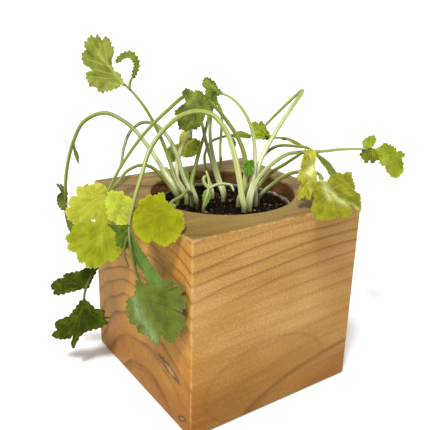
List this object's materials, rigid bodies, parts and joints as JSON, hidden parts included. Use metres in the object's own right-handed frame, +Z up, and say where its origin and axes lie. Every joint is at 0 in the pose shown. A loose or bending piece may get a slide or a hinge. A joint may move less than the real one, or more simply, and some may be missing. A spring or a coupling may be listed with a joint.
{
  "type": "coriander plant in a pot",
  "caption": "Young coriander with arching stems and lobed leaves, growing from peat in a cup that sits in a bored wooden cube planter.",
  "frame": {"origin": "centre of the cube's underside", "axes": "+Z up, -Y out of the planter's front face, +X to the viewer's right when facing the front"},
  "size_m": [0.1754, 0.1295, 0.1747],
  "materials": {
    "wood": "satin",
    "cup": "matte",
    "peat": "matte",
    "olive_leaf": "satin",
    "green_leaf": "satin",
    "dark_leaf": "satin",
    "lime_leaf": "satin",
    "yellow_leaf": "satin",
    "pale_stem": "satin"
  },
  "bodies": {
    "root": {"wood_cube": "wood", "liner_cup": "cup", "soil": "peat", "cut_stem": "pale_stem", "leaf_back_branch": "green_leaf", "leaf_bud": "green_leaf", "leaf_centre_back": "olive_leaf", "leaf_centre_left": "olive_leaf", "leaf_centre_loop": "pale_stem", "leaf_centre_top": "green_leaf", "leaf_centre_umbrella": "dark_leaf", "leaf_front_arch": "green_leaf", "leaf_front_yellow": "yellow_leaf", "leaf_left_arch": "dark_leaf", "leaf_left_back": "yellow_leaf", "leaf_left_low": "yellow_leaf", "leaf_left_yellow": "yellow_leaf", "leaf_right_back": "lime_leaf", "leaf_right_far": "lime_leaf", "leaf_right_front": "lime_leaf", "leaf_right_strap": "olive_leaf", "leaf_right_yellow": "yellow_leaf", "leaf_top_left": "olive_leaf", "seedling": "pale_stem"}
  },
  "joints": []
}
